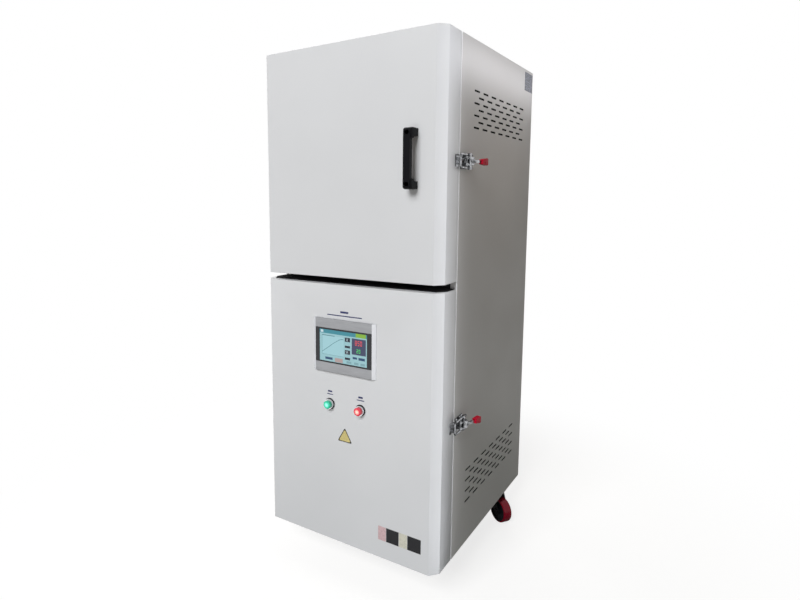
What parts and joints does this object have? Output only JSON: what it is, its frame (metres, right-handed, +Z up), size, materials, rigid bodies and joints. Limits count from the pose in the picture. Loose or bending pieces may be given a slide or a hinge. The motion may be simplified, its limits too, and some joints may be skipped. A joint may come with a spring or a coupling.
{
  "type": "muffle furnace",
  "caption": "Floor-standing muffle furnace on castors: heating chamber behind an upper door, control panel in the lower door, latch clamps and vented sides.",
  "frame": {"origin": "on the floor under the middle of the whole model's bounding box, with both doors and clamps closed", "axes": "+Z up, +X to the right seen from the front, +Y from the doors to the back"},
  "size_m": [0.619, 0.785, 1.488],
  "materials": {
    "frame_steel": "satin",
    "side_paint": "satin",
    "door_paint": "satin",
    "fascia_paint": "satin",
    "zinc_sheet": "satin",
    "fibre_board": "matte",
    "ceramic": "matte",
    "element_dark": "satin",
    "black_plastic": "matte",
    "iron_core": "matte",
    "heat_sink": "satin",
    "chrome_part": "polished",
    "seal_rubber": "matte",
    "panel_alloy": "satin",
    "panel_glass": "gloss",
    "green_lens": "gloss",
    "red_lens": "gloss",
    "red_grip": "gloss",
    "castor_steel": "satin",
    "hub_nylon": "matte",
    "tread_red": "satin"
  },
  "bodies": {
    "cabinet": {"frame_angles": "frame_steel", "left_side_panel": "side_paint", "right_side_panel": "side_paint", "top_panel": "side_paint", "bottom_panel": "side_paint", "rear_panel": "side_paint", "front_fascia": "fascia_paint", "divider_shelf": "zinc_sheet", "inner_case": "zinc_sheet", "chamber_insulation": "fibre_board", "hearth_plate": "ceramic", "heating_elements": "element_dark", "element_holders": "ceramic", "thermocouple": "ceramic", "exhaust_flue": "zinc_sheet", "cable_gland": "black_plastic", "mounting_plate": "zinc_sheet", "transformer": "iron_core", "power_regulator": "heat_sink", "rail_devices": "black_plastic", "cabinet_hinges": "zinc_sheet", "clamp_bases": "chrome_part", "castor_plates": "castor_steel"},
    "upper_door": {"upper_door_shell": "door_paint", "upper_door_back": "zinc_sheet", "upper_door_insulation": "fibre_board", "upper_door_seal": "seal_rubber", "upper_door_hinges": "zinc_sheet", "upper_door_handle": "black_plastic", "handle_screws": "frame_steel", "upper_door_catch": "chrome_part"},
    "lower_door": {"lower_door_shell": "door_paint", "lower_door_back": "zinc_sheet", "lower_door_seal": "seal_rubber", "lower_door_hinges": "zinc_sheet", "lower_door_catch": "chrome_part", "operator_panel_frame": "panel_alloy", "operator_panel_glass": "panel_glass", "button_rings": "chrome_part", "button_bodies": "black_plastic"},
    "green_button": {"green_button": "green_lens"},
    "red_button": {"red_button": "red_lens"},
    "upper_clamp_lever": {"upper_clamp_lever": "chrome_part", "upper_clamp_grip": "red_grip"},
    "upper_clamp_hook": {"upper_clamp_hook": "chrome_part"},
    "lower_clamp_lever": {"lower_clamp_lever": "chrome_part", "lower_clamp_grip": "red_grip"},
    "lower_clamp_hook": {"lower_clamp_hook": "chrome_part"},
    "front_left_fork": {"front_left_fork": "castor_steel"},
    "front_left_wheel": {"front_left_hub": "hub_nylon", "front_left_tread": "tread_red"},
    "front_right_fork": {"front_right_fork": "castor_steel"},
    "front_right_wheel": {"front_right_hub": "hub_nylon", "front_right_tread": "tread_red"},
    "rear_left_fork": {"rear_left_fork": "castor_steel"},
    "rear_left_wheel": {"rear_left_hub": "hub_nylon", "rear_left_tread": "tread_red"},
    "rear_right_fork": {"rear_right_fork": "castor_steel"},
    "rear_right_wheel": {"rear_right_hub": "hub_nylon", "rear_right_tread": "tread_red"}
  },
  "joints": [
    {"name": "upper_door_hinge", "type": "hinge", "parent": "cabinet", "child": "upper_door", "pos_m": [-0.30251, -0.2545, 1.181], "axis": [0, 0, -1], "range_deg": [0, 110]},
    {"name": "lower_door_hinge", "type": "hinge", "parent": "cabinet", "child": "lower_door", "pos_m": [-0.30251, -0.2545, 0.481], "axis": [0, 0, -1], "range_deg": [0, 110]},
    {"name": "green_button_press", "type": "slide", "parent": "lower_door", "child": "green_button", "axis": [0, 1, 0], "range_m": [0, 0.0035], "stiffness_N_per_m": 600, "springref_m": -0.001},
    {"name": "red_button_press", "type": "slide", "parent": "lower_door", "child": "red_button", "axis": [0, 1, 0], "range_m": [0, 0.0035], "stiffness_N_per_m": 600, "springref_m": -0.001},
    {"name": "upper_clamp_lever_pivot", "type": "hinge", "parent": "cabinet", "child": "upper_clamp_lever", "pos_m": [0.2778, -0.2345, 1.178], "axis": [0, 0, -1], "range_deg": [0, 100]},
    {"name": "upper_clamp_hook_pivot", "type": "hinge", "parent": "upper_clamp_lever", "child": "upper_clamp_hook", "pos_m": [0.2778, -0.2145, 1.178], "axis": [0, 0, -1], "range_deg": [-100, 0]},
    {"name": "lower_clamp_lever_pivot", "type": "hinge", "parent": "cabinet", "child": "lower_clamp_lever", "pos_m": [0.2778, -0.2345, 0.488], "axis": [0, 0, -1], "range_deg": [0, 100]},
    {"name": "lower_clamp_hook_pivot", "type": "hinge", "parent": "lower_clamp_lever", "child": "lower_clamp_hook", "pos_m": [0.2778, -0.2145, 0.488], "axis": [0, 0, -1], "range_deg": [-100, 0]},
    {"name": "front_left_swivel", "type": "hinge", "parent": "cabinet", "child": "front_left_fork", "pos_m": [-0.2335, -0.1265, 0.088], "axis": [0, 0, 1], "continuous": true},
    {"name": "front_left_roll", "type": "hinge", "parent": "front_left_fork", "child": "front_left_wheel", "pos_m": [-0.21651, -0.09706, 0.0395], "axis": [-0.866, 0.5, 0], "continuous": true},
    {"name": "front_right_swivel", "type": "hinge", "parent": "cabinet", "child": "front_right_fork", "pos_m": [0.2065, -0.1265, 0.088], "axis": [0, 0, 1], "continuous": true},
    {"name": "front_right_roll", "type": "hinge", "parent": "front_right_fork", "child": "front_right_wheel", "pos_m": [0.17705, -0.1095, 0.0395], "axis": [-0.5, -0.866, 0], "continuous": true},
    {"name": "rear_left_swivel", "type": "hinge", "parent": "cabinet", "child": "rear_left_fork", "pos_m": [-0.2535, 0.2215, 0.088], "axis": [0, 0, 1], "continuous": true},
    {"name": "rear_left_roll", "type": "hinge", "parent": "rear_left_fork", "child": "rear_left_wheel", "pos_m": [-0.2705, 0.19206, 0.0395], "axis": [0.866, -0.5, 0], "continuous": true},
    {"name": "rear_right_swivel", "type": "hinge", "parent": "cabinet", "child": "rear_right_fork", "pos_m": [0.2265, 0.2215, 0.088], "axis": [0, 0, 1], "continuous": true},
    {"name": "rear_right_roll", "type": "hinge", "parent": "rear_right_fork", "child": "rear_right_wheel", "pos_m": [0.25468, 0.20249, 0.0395], "axis": [0.5592, 0.829, 0], "continuous": true}
  ],
  "couplings": [
    {"joint": "upper_clamp_hook_pivot", "follows": "upper_clamp_lever_pivot", "ratio": -1},
    {"joint": "lower_clamp_hook_pivot", "follows": "lower_clamp_lever_pivot", "ratio": -1}
  ]
}
